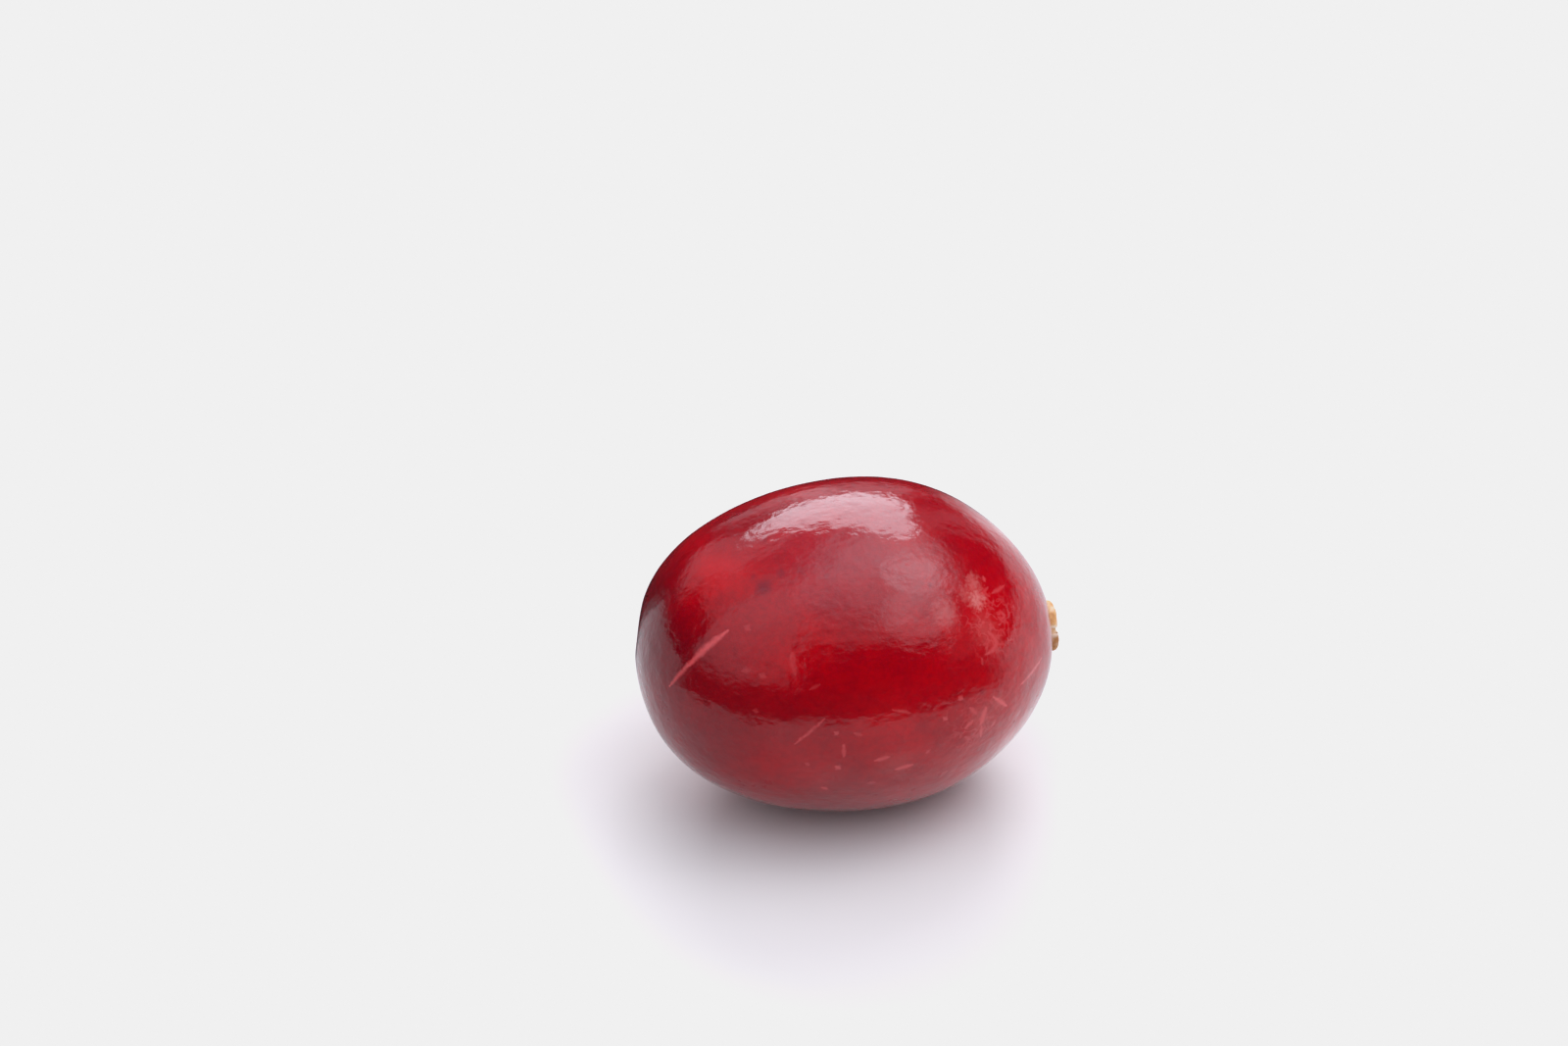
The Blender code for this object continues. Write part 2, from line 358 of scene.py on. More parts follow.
def makeCalyxRing():
    shape = bmesh.new()
    shift = Vector((calyx["seed"], 0, 0))
    low, high = calyx["crest"]
    alongRate, yRate, zRate = calyx["fineRates"]
    rows = []
    for height, radius in smoothProfile(calyx["profile"], calyx["steps"]):
        row = []
        for k in range(calyx["around"]):
            turn = tau * k / calyx["around"]
            way = Vector((0, cos(turn), sin(turn)))
            slow = noise.noise(way * calyx["slowRate"] + shift)
            fine = noise.noise(Vector((height * alongRate, way.y * yRate, way.z * zRate)) + shift)
            uneven = noise.noise(way * calyx["outlineRate"] - shift)
            crest = max(0.0, min(1.0, (height - low) / (high - low)))
            h = height + calyx["crestWobble"] * slow * crest + calyx["wrinkle"] * fine * crest
            r = radius * (1 + calyx["outlineWobble"] * uneven)
            if radius > calyx["poles"]:
                r += calyx["wallWrinkle"] * fine
            row.append(shape.verts.new(calyx["seat"] + Vector((h, r * way.y, r * way.z)) * mm))
        rows.append(row)
    for lower, upper in zip(rows, rows[1:]):
        for k in range(calyx["around"]):
            n = (k + 1) % calyx["around"]
            shape.faces.new((lower[k], lower[n], upper[n], upper[k]))
    return fromMeshCode("calyxRing", shape, calyxMaterial)


sepalSizes = {
    "Segments": 56,
    "Rings": 44,
    "Turn": 0.0,
    "Half turn": 0.7,
    "Wall radius": 1.25 * mm,
    "Tip radius": 0.3 * mm,
    "Foot height": -0.30 * mm,
    "Crest height": 0.36 * mm,
    "Tip height": 0.20 * mm,
    "Thickness": 0.065 * mm,         # each way from the middle of the sheet
    "Edge lift": 0.07 * mm,
    "Crumple": 0.17 * mm,
    "Crumple size": 0.62 * mm,
    "Least width": 0.28,             # share of its width at foot and tip, and what is added between
    "Added width": 0.72,
    "Crest start": 0.52,             # places along the sepal, 0 at its foot and 1 at its tip
    "Crest end": 0.58,
    "Wall end": 0.34,
    "Fold start": 0.32,
    "Fold end": 0.62,
    "Lift start": 0.50,
    "Lift end": 0.90,
    "Shade": 0.5,                    # 0 palest cream, 1 brownest; the lower the sepal, the browner, part weathering and part painted shade
    "Seed": 1.0,
    "Seat": tuple(calyx["seat"]),
}

# Turn is counted from +Y towards +Z, seen from the calyx end
# The sepals' shades run from the palest at the top to the brownest at the bottom: part weathering, part
# painted shade
sepals = [
    {"Turn": radians(112), "Half turn": radians(42), "Tip radius": 0.28 * mm, "Crest height": 0.31 * mm,
     "Tip height": 0.12 * mm, "Shade": 0.05, "Seed": 1.7},
    {"Turn": radians(203), "Half turn": radians(37), "Tip radius": 0.50 * mm, "Crest height": 0.33 * mm,
     "Tip height": 0.02 * mm, "Shade": 0.55, "Seed": 5.2},
    {"Turn": radians(282), "Half turn": radians(31), "Tip radius": 0.64 * mm, "Crest height": 0.24 * mm,
     "Tip height": 0.00 * mm, "Shade": 0.90, "Seed": 8.4},
    {"Turn": radians(8), "Half turn": radians(40), "Tip radius": 0.40 * mm, "Crest height": 0.27 * mm,
     "Tip height": 0.14 * mm, "Shade": 0.35, "Seed": 3.1},
]


def sepalTree():
    tree, size, ball, (ballX, ballY, ballZ) = shapeTree("sepalShape", sepalSizes)
    add = partial(addNode, tree)
    along = add(maths, [ballZ, 0.5, 0.5], operation="MULTIPLY_ADD")
    # across the sepal from -1 to 1, kept broad towards its foot and tip
    squared = add(maths, [ballZ, ballZ], operation="MULTIPLY")
    left = add(maths, [1.0, squared], operation="SUBTRACT")
    girth = add(maths, [left], operation="SQRT")
    broad = add(maths, [girth, size["Added width"], size["Least width"]], operation="MULTIPLY_ADD")
    across = add(maths, [ballX, broad], operation="DIVIDE")
    edge = add(maths, [across], operation="ABSOLUTE")
    turn = add(maths, [across, size["Half turn"], size["Turn"]], operation="MULTIPLY_ADD")
    # up the wall, over the crest and in towards the middle
    up = add(ranges, {"Value": along, "From Min": 0.0, "From Max": size["Crest start"],
             "To Min": size["Foot height"], "To Max": size["Crest height"]}, **easing)
    drop = add(maths, [size["Crest height"], size["Tip height"]], operation="SUBTRACT")
    down = add(ranges, {"Value": along, "From Min": size["Crest end"], "From Max": 1.0, "To Min": 0.0,
               "To Max": drop}, **easing)
    rise = add(maths, [up, down], operation="SUBTRACT")
    radius = add(ranges, {"Value": along, "From Min": size["Wall end"], "From Max": 1.0,
                 "To Min": size["Wall radius"], "To Max": size["Tip radius"]}, **easing)
    inwards = add(ranges, {"Value": along, "From Min": size["Lift start"], "From Max": size["Lift end"]},
                  **easing)
    edge2 = add(maths, [edge, edge], operation="MULTIPLY")
    edgeUp = add(maths, [edge2, size["Edge lift"]], operation="MULTIPLY")
    lift = add(maths, [edgeUp, inwards], operation="MULTIPLY")
    # the thickness points out at the wall and up on the folded part
    fold = add(ranges, {"Value": along, "From Min": size["Fold start"], "From Max": size["Fold end"],
               "To Min": 0.0, "To Max": pi / 2}, **easing)
    thick = add(maths, [ballY, size["Thickness"]], operation="MULTIPLY")
    foldCos, foldSin, turnCos, turnSin = (add(maths, [angle], operation=kind)
                                          for angle in (fold, turn) for kind in ("COSINE", "SINE"))
    outer = add(maths, [thick, foldCos, radius], operation="MULTIPLY_ADD")
    raised = add(maths, [rise, lift], operation="ADD")
    upper = add(maths, [thick, foldSin, raised], operation="MULTIPLY_ADD")
    y = add(maths, [outer, turnCos], operation="MULTIPLY")
    z = add(maths, [outer, turnSin], operation="MULTIPLY")
    local = add(joins, [upper, y, z])
    # dry tissue crumples: the same noise moves both faces of the sepal
    scale = add(maths, [1.0, size["Crumple size"]], operation="DIVIDE")
    rough = add(noises, {"Vector": local, "W": size["Seed"], "Scale": scale, "Detail": 3.0,
                "Roughness": 0.6}, out=1, noise_dimensions="4D")
    centred = add(vectors, [rough, noiseMiddle], operation="SUBTRACT")
    crumple = add(vectors, {0: centred, "Scale": size["Crumple"]}, operation="SCALE")
    shaped = add(vectors, [local, crumple], operation="ADD")
    placed = add(vectors, [shaped, size["Seat"]], operation="ADD")
    # both are read by the material
    for label, value in (("edge", edge), ("shade", size["Shade"])):
        ball = add("GeometryNodeStoreNamedAttribute", {"Geometry": ball, "Name": label, "Value": value},
                   data_type="FLOAT")
    sepal = add("GeometryNodeSetPosition", {"Geometry": ball, "Position": placed})
    outward = add("GeometryNodeFlipFaces", {"Mesh": sepal})
    return finishTree(tree, outward, calyxMaterial)


def makeSepals():
    tree = sepalTree()
    for k, own in enumerate(sepals):
        piece = growPiece(f"calyxSepal{k + 1}", tree, {**sepalSizes, **own})
        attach(piece, "root")
        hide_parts("calyx")


def paintCalyx():
    # Dried sepal: papery plant tissue, tan and matt, paler at its edges and red-brown down in the pit
    tree, shader = calyxTree, calyxShader
    add = partial(addNode, tree)
    local = inMillimetres(tree, calyx["seat"])
    height = add(splits, [local])
    # mottling about 0.4 mm across, and a grain of about 0.1 mm
    mottle = add(noises, {"Vector": local, "Scale": 2.6, "Detail": 4.0, "Roughness": 0.6})
    grain = add(noises, {"Vector": local, "Scale": 11.0, "Detail": 3.0, "Roughness": 0.6})
    tone = add("ShaderNodeValToRGB", [mottle])
    ramp = tone.node.color_ramp
    ramp.elements[0].position, ramp.elements[0].color = 0.30, hexColour(calyx["dark"])
    ramp.elements[1].position, ramp.elements[1].color = 0.68, hexColour(calyx["cream"])
    ramp.elements.new(0.48).color = hexColour(calyx["tan"])
    # each sepal's shade, browner lower down: weathering and painted shade
    shade = add("ShaderNodeAttribute", attribute_name="shade", out=2)
    browningAndShade = add(maths, [shade, calyx["browningAndShade"]], operation="MULTIPLY")
    weatheredAndShaded = add(mixes, {0: browningAndShade, 6: tone, 7: hexColour(calyx["weatheredAndShaded"])}, **colours)
    edge = add("ShaderNodeAttribute", attribute_name="edge", out=2)
    rim = add(ranges, {"Value": edge, "From Min": calyx["rimStart"], "From Max": 1.0}, **easing)
    paled = add(mixes, {0: rim, 6: weatheredAndShaded, 7: hexColour(calyx["edge"])}, **colours)
    top, floor = calyx["pitHeights"]
    deep = add(ranges, {"Value": height, "From Min": top, "From Max": floor}, **easing)
    pit = add(mixes, {0: deep, 6: paled, 7: hexColour(calyx["pit"])}, **colours)
    tree.links.new(pit, shader.inputs["Base Color"])
    dull = add(ranges, {"Value": grain, "To Min": 0.5, "To Max": 0.85})
    tree.links.new(dull, shader.inputs["Roughness"])
    shader.inputs["IOR"].default_value = 1.45
    shader.inputs["Subsurface Weight"].default_value = 0.15
    shader.inputs["Subsurface Scale"].default_value = 0.2 * mm
    bump = add("ShaderNodeBump", {"Height": grain, "Distance": 0.02 * mm, "Strength": 0.8})
    tree.links.new(bump, shader.inputs["Normal"])


calyxMaterial, calyxTree, calyxShader = newMaterial("driedCalyx")
paintCalyx()
calyxRing = makeCalyxRing()
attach(calyxRing, "root")
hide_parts("calyx")
makeSepals()
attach(berrySkin, "root")
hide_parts("berry")
print("calyx made")


# The stem scar: a small dry disc left where the stalk broke off, lying in the dimple

stemScar = {
    "Segments": 96,
    "Rings": 48,
    "Middle": tuple(berryMiddle + Vector(berry["Dimple centre"])),
    "Radius": 0.52 * mm,
    "Start": -14 * mm,               # the disc is dropped on to the skin from out here
    "Rim place": 0.66,               # shares of the radius
    "Rim width": 0.22,
    "Rim height": 0.065 * mm,
    "Floor height": 0.035 * mm,
    "Sunk": 0.06 * mm,
    "Wrinkle": 0.11 * mm,
    "Wrinkles round": 5.0,
    "Least radius": 0.78,            # share of the radius where the ragged outline draws in, and out
    "Most radius": 1.20,
    "Roundness": 0.4,                # how abruptly the edge rises from the skin, 1 for a dome
    "Seed": 4.0,
}
scarColours = ("#44261A", "#946A46")


def stemScarTree():
    tree, size, ball, (ballX, ballY, ballZ) = shapeTree("stemScarShape", stemScar)
    add = partial(addNode, tree)
    flat = add(joins, [0.0, ballX, ballY])
    reach = add(vectors, [flat], out=1, operation="LENGTH")
    # ragged outline, then each point dropped along +X on to the skin
    ragged = add(noises, {"Vector": flat, "W": size["Seed"], "Scale": 2.2, "Detail": 3.0},
                 noise_dimensions="4D")
    wide = add(ranges, {"Value": ragged, "From Min": 0.3, "From Max": 0.7, "To Min": size["Least radius"],
               "To Max": size["Most radius"]})
    wideSize = add(maths, [wide, size["Radius"]], operation="MULTIPLY")
    spread = add(vectors, {0: flat, "Scale": wideSize}, operation="SCALE")
    over = add(vectors, [spread, size["Middle"]], operation="ADD")
    _, overY, overZ = add(splits, [over]).node.outputs
    outside = add(joins, [size["Start"], overY, overZ])
    skinShape = add("GeometryNodeObjectInfo", {"Object": berrySkin}).node.outputs["Geometry"]
    hit = add("GeometryNodeRaycast", {"Target Geometry": skinShape, "Source Position": outside,
              "Ray Direction": (1.0, 0.0, 0.0), "Ray Length": 30 * mm}, out=1)
    # a raised rim with radial wrinkles round a lower floor, and an underside sunk into the skin
    fromRim = add(maths, [reach, size["Rim place"]], operation="SUBTRACT")
    rim = bell(tree, fromRim, size["Rim width"])
    rimUp = add(maths, [rim, size["Rim height"], size["Floor height"]], operation="MULTIPLY_ADD")
    way = add(vectors, [flat], operation="NORMALIZE")
    folds = add(vectors, {0: way, "Scale": size["Wrinkles round"]}, operation="SCALE")
    folds = add(vectors, [folds, flat], operation="ADD")
    crease = add(noises, {"Vector": folds, "W": size["Seed"], "Scale": 1.2, "Detail": 3.0,
                 "Roughness": 0.6}, noise_dimensions="4D")
    crease = add(maths, [crease, 0.5], operation="SUBTRACT")
    topHeight = add(maths, [crease, size["Wrinkle"], rimUp], operation="MULTIPLY_ADD")
    above = add(maths, [ballZ, 0.0], operation="MAXIMUM")
    above = add(maths, [above, size["Roundness"]], operation="POWER")
    below = add(maths, [ballZ, 0.0], operation="MINIMUM")
    top = add(maths, [above, topHeight], operation="MULTIPLY")
    height = add(maths, [below, size["Sunk"], top], operation="MULTIPLY_ADD")
    out = add(vectors, {0: hit.node.outputs[2], "Scale": height}, operation="SCALE")
    place = add(vectors, [hit, out], operation="ADD")
    marked = add("GeometryNodeStoreNamedAttribute", {"Geometry": ball, "Name": "reach", "Value": reach},
                 data_type="FLOAT")
    disc = add("GeometryNodeSetPosition", {"Geometry": marked, "Position": place})
    outward = add("GeometryNodeFlipFaces", {"Mesh": disc})
    return finishTree(tree, outward, scarMaterial)


def paintStemScar():
    # Dried stalk tissue: dark brown, matt, with a paler corky rim and fibres about 0.2 mm across
    tree, shader = scarTree, scarShader
    add = partial(addNode, tree)
    local = inMillimetres(tree, Vector(stemScar["Middle"]))
    reach = add("ShaderNodeAttribute", attribute_name="reach", out=2)
    fibre = add(noises, {"Vector": local, "Scale": 5.0, "Detail": 4.0, "Roughness": 0.7})
    ring = add(ranges, {"Value": reach, "From Min": 0.30, "From Max": 0.85}, **easing)
    mixed = add(maths, [fibre, 2.6, ring], operation="MULTIPLY_ADD")
    share = add(ranges, {"Value": mixed, "From Min": 1.0, "From Max": 2.7})
    colour = add(mixes, {0: share, 6: hexColour(scarColours[0]), 7: hexColour(scarColours[1])}, **colours)
    tree.links.new(colour, shader.inputs["Base Color"])
    shader.inputs["Roughness"].default_value = 0.8
    shader.inputs["IOR"].default_value = 1.45
    shader.inputs["Specular IOR Level"].default_value = 0.25
    bump = add("ShaderNodeBump", {"Height": fibre, "Distance": 0.03 * mm, "Strength": 0.8})
    tree.links.new(bump, shader.inputs["Normal"])


scarMaterial, scarTree, scarShader = newMaterial("driedStemScar")
paintStemScar()
stemScarPiece = growPiece("stemScar", stemScarTree(), stemScar)
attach(stemScarPiece, "root")
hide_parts("berry")
print("stem scar made")


# Skin: fresh waxed fruit skin, a thin clear cuticle over red flesh colour

skin = {
    "scarlet": "#AA000D",
    "crimson": "#9A000C",
    "wine": "#700218",
    "freckle": "#5E0212",
    "scar": "#CE4E50",
    "cloud": "#D07E78",
    "bruise": "#4A0A1E",
    "bloom": "#BE969E",
    # noise cells in 1 mm
    "toneScale": 0.24,           # broad tones about 4 mm across
    "mottleScale": 0.6,          # blotches of about 1.7 mm
    "freckleScale": 3.0,         # finest mottling, 0.33 mm, as coarse as it needs to be to show
    "wobbleScale": 5.0,          # breaks the edges of marks every 0.2 mm
    "driftScale": 0.35,          # bends the outlines of tones over about 3 mm
    "netScale": 1.3,             # meshes of the net of scars, about 0.8 mm
    "grainScale": 5.0,           # grains of bloom of about 0.2 mm
    "wobble": 0.14,              # mm
    "cloudWobble": 1.1,          # mm
    "drift": 4.0,                # mm
    "bloomDrift": 1.2,           # mm
    "thinning": 0.7,             # how much a line narrows at its ends
    "bloomReach": (2.9, 1.3),    # mm from the calyx, none and full
    "bloomCover": 0.55,
    "relief": 0.055 * mm,
}

# Marks lie on the skin itself. Two numbers place them in the picture, three on the sides that it hides.
# Broad changes of tone: place, radius in mm, colour, strength. Some are the skin's own tones; the dark ones
# at the stem end, low on that side, under the berry and along the top edge are painted shade, the stem end's
# partly its own deeper red
tonesAndShade = [
    # the skin's own brighter scarlet
    ((736, 572), 2.8, "#C4000E", 0.50),
    ((1012, 625), 3.0, "#BA000E", 0.35),
    # the stem end's own deeper red, with painted shade over it
    ((658, 648), 5.8, "#46020E", 0.82),
    # painted shade, low on the stem end's side and under the berry
    ((700, 710), 6.0, "#54020E", 0.45),
    ((705, 780), 5.8, "#4E0210", 0.62),
    ((780, 740), 4.6, "#6A020E", 0.42),
    ((862, 822), 5.4, "#5C020E", 0.55),
    # painted shade along the top edge
    ((880, 505), 5.4, "#62020E", 0.38),
    ((765, 535), 3.6, "#5C020E", 0.62),
    # the skin's own wine tone
    ((850, 575), 4.4, "#70021A", 0.42),
    # painted shade at the top edge, towards the calyx
    ((965, 535), 4.2, "#74020F", 0.40),
    # the skin's own deeper red
    ((900, 625), 3.0, "#7C020F", 0.40),
]

# Dark spots: place, radius in mm, strength
darkSpots = [
    ((779, 599), 0.60, 0.62),
    ((774, 603), 0.34, 0.40),
    ((769, 588), 0.22, 0.35),
    ((797, 585), 0.34, 0.35),
    ((816, 583), 0.26, 0.30),
    ((843, 588), 0.24, 0.30),
    ((779, 551), 0.30, 0.25),
    ((949, 597), 0.20, 0.35),
    ((866, 812), 0.20, 0.35),
    ((1003, 705), 0.30, 0.30),
    ((940, 742), 0.60, 0.22),
    ((0.2, 1.0, 0.32), 0.50, 0.45),
    ((0.45, 1.0, 0.05), 0.36, 0.35),
    ((-0.4, 1.0, 0.1), 0.60, 0.25),
]

# Pale scuffs, scars and flecks: the points that each runs through, half width in mm, strength
paleMarks = [
    ([(683, 700), (698, 683), (711, 669)], 0.18, 0.60),
    ([(701, 681), (719, 662), (743, 643)], 0.25, 0.80),
    ([(811, 759), (842, 733)], 0.20, 0.50),
    ([(1042, 698), (1063, 671)], 0.22, 0.85),
    ([(808, 666), (811, 688)], 0.36, 0.24),
    ([(826, 704), (837, 698)], 0.18, 0.20),
    ([(911, 724), (929, 727)], 0.20, 0.36),
    ([(893, 776), (907, 772)], 0.30, 0.50),
    ([(914, 785), (931, 780)], 0.32, 0.55),
    ([(1014, 711), (1027, 720)], 0.27, 0.80),
    ([(1001, 738), (1006, 722)], 0.40, 0.62),
    ([(1001, 741), (1001, 751)], 0.24, 0.55),
    ([(985, 743), (993, 735)], 0.24, 0.55),
    ([(979, 711), (982, 713)], 0.30, 0.55),
    ([(963, 732), (966, 734)], 0.30, 0.55),
    ([(990, 722), (996, 728)], 0.26, 0.45),
    ([(1016, 735), (1012, 741)], 0.24, 0.40),
    ([(985, 752), (990, 754)], 0.26, 0.35),
    ([(945, 768), (949, 765)], 0.24, 0.32),
    ([(872, 748), (880, 750)], 0.22, 0.26),
    ([(822, 779), (826, 780)], 0.24, 0.26),
    ([(960, 790), (967, 786)], 0.24, 0.28),
    ([(885, 799), (893, 798)], 0.24, 0.26),
    ([(852, 747), (855, 749)], 0.28, 0.42),
    ([(861, 760), (861, 772)], 0.24, 0.40),
    ([(853, 782), (857, 784)], 0.34, 0.55),
    ([(839, 803), (844, 805)], 0.28, 0.45),
    ([(760, 639), (765, 642)], 0.34, 0.20),
    ([(758, 685), (765, 683)], 0.32, 0.22),
    ([(775, 688), (781, 690)], 0.32, 0.20),
    ([(769, 725), (773, 726)], 0.28, 0.22),
    ([(1003, 588), (1005, 593)], 0.24, 0.50),
    ([(1008, 599), (1003, 605), (1010, 608)], 0.17, 0.36),
    ([(1012, 605), (1018, 602), (1025, 597)], 0.17, 0.42),
    ([(1018, 627), (1021, 624), (1025, 628), (1021, 632), (1018, 629)], 0.15, 0.42),
    ([(1008, 644), (1014, 650), (1017, 656), (1013, 663), (1006, 668)], 0.18, 0.50),
    ([(1010, 636), (1014, 640)], 0.16, 0.35),
    ([(1022, 642), (1026, 648)], 0.16, 0.35),
    ([(1012, 618), (1014, 612)], 0.16, 0.35),
    ([(1018, 657), (1027, 658)], 0.17, 0.32),
    ([(1001, 671), (1003, 678)], 0.20, 0.30),
]

# The sides turned away carry a few scuffs of the same kind
farMarks = [
    ([(-0.62, 1.0, 0.34), (-0.50, 1.0, 0.42), (-0.37, 1.0, 0.46)], 0.22, 0.70),
    ([(0.55, 1.0, -0.25), (0.66, 1.0, -0.12)], 0.18, 0.55),
    ([(0.30, 1.0, 0.55), (0.34, 1.0, 0.66)], 0.20, 0.40),
    ([(-0.15, 1.0, -0.42), (-0.05, 1.0, -0.40)], 0.26, 0.45),
    ([(1.25, 1.0, 0.35), (1.32, 1.0, 0.42)], 0.24, 0.45),
    ([(-1.05, 1.0, -0.10), (-1.10, 1.0, 0.02)], 0.22, 0.40),
    ([(0.85, 1.0, 0.30)], 0.30, 0.45),
    ([(0.10, 1.0, 0.12)], 0.24, 0.40),
    ([(-0.85, 1.0, 0.75)], 0.28, 0.35),
    ([(0.40, 0.35, 1.0), (0.52, 0.30, 1.0)], 0.20, 0.40),
    ([(-2.0, 0.75, 0.85), (-1.9, 0.90, 0.85)], 0.20, 0.45),
    ([(-2.2, 0.55, -0.40), (-2.2, 0.72, -0.36)], 0.22, 0.45),
    ([(2.4, 0.9, 0.75), (2.2, 1.05, 0.80)], 0.20, 0.45),
]

# Soft pale clouds under the surface: place, radius in mm, strength
paleClouds = [
    ((997, 612), 0.70, 0.62),
    ((993, 595), 0.70, 0.32),
    ((986, 606), 0.60, 0.22),
    ((964, 625), 0.90, 0.22),
    ((1006, 642), 1.10, 0.16),
    ((1014, 655), 0.80, 0.14),
    ((1003, 733), 1.10, 0.14),
    ((1018, 716), 0.80, 0.14),
    ((915, 780), 1.20, 0.08),
    ((0.75, 1.0, 0.10), 1.3, 0.22),
    ((-0.9, 1.0, 0.30), 1.5, 0.16),
]

# Patches of the fine net of scars: place, radius in mm, strength
netPatches = [
    ((1014, 636), 2.6, 0.38),
    ((1000, 735), 2.2, 0.26),
]


def markGroup():
    # How much of a line of the given half width covers a point of the skin, all in mm
    tree = bpy.data.node_groups.new("skinMark", "ShaderNodeTree")
    add = partial(addNode, tree)
    for label in ("Point", "Start", "End"):
        tree.interface.new_socket(label, in_out="INPUT", socket_type="NodeSocketVector")
    for label in ("Width", "Thin start", "Thin end"):
        tree.interface.new_socket(label, in_out="INPUT", socket_type="NodeSocketFloat")
    tree.interface.new_socket("Cover", in_out="OUTPUT", socket_type="NodeSocketFloat")
    point, start, end, width, thinStart, thinEnd = tree.nodes.new("NodeGroupInput").outputs[:6]
    run = add(vectors, [end, start], operation="SUBTRACT")
    off = add(vectors, [point, start], operation="SUBTRACT")
    over = add(vectors, [off, run], out=1, operation="DOT_PRODUCT")
    whole = add(vectors, [run, run], out=1, operation="DOT_PRODUCT")
    along = add(maths, [over, whole], operation="DIVIDE")
    share = add(maths, [along, 0.0], operation="MAXIMUM")
    share = add(maths, [share, 1.0], operation="MINIMUM")
    near = add(vectors, {0: run, "Scale": share}, operation="SCALE")
    away = add(vectors, [off, near], out=1, operation="DISTANCE")
    toStart = add(maths, [1.0, share], operation="SUBTRACT")
    slim = 1.0
    for reach, thin in ((toStart, thinStart), (share, thinEnd)):
        square = add(maths, [reach, reach], operation="MULTIPLY")
        loss = add(maths, [square, thin], operation="MULTIPLY")
        left = add(maths, [1.0, loss], operation="SUBTRACT")
        slim = add(maths, [left, slim], operation="MULTIPLY")
    own = add(maths, [slim, width], operation="MULTIPLY")
    part = add(maths, [away, own], operation="DIVIDE")
    cover = add(ranges, {"Value": part, "From Min": 1.1, "From Max": 0.1}, **easing)
    add("NodeGroupOutput", [cover])
    return tree


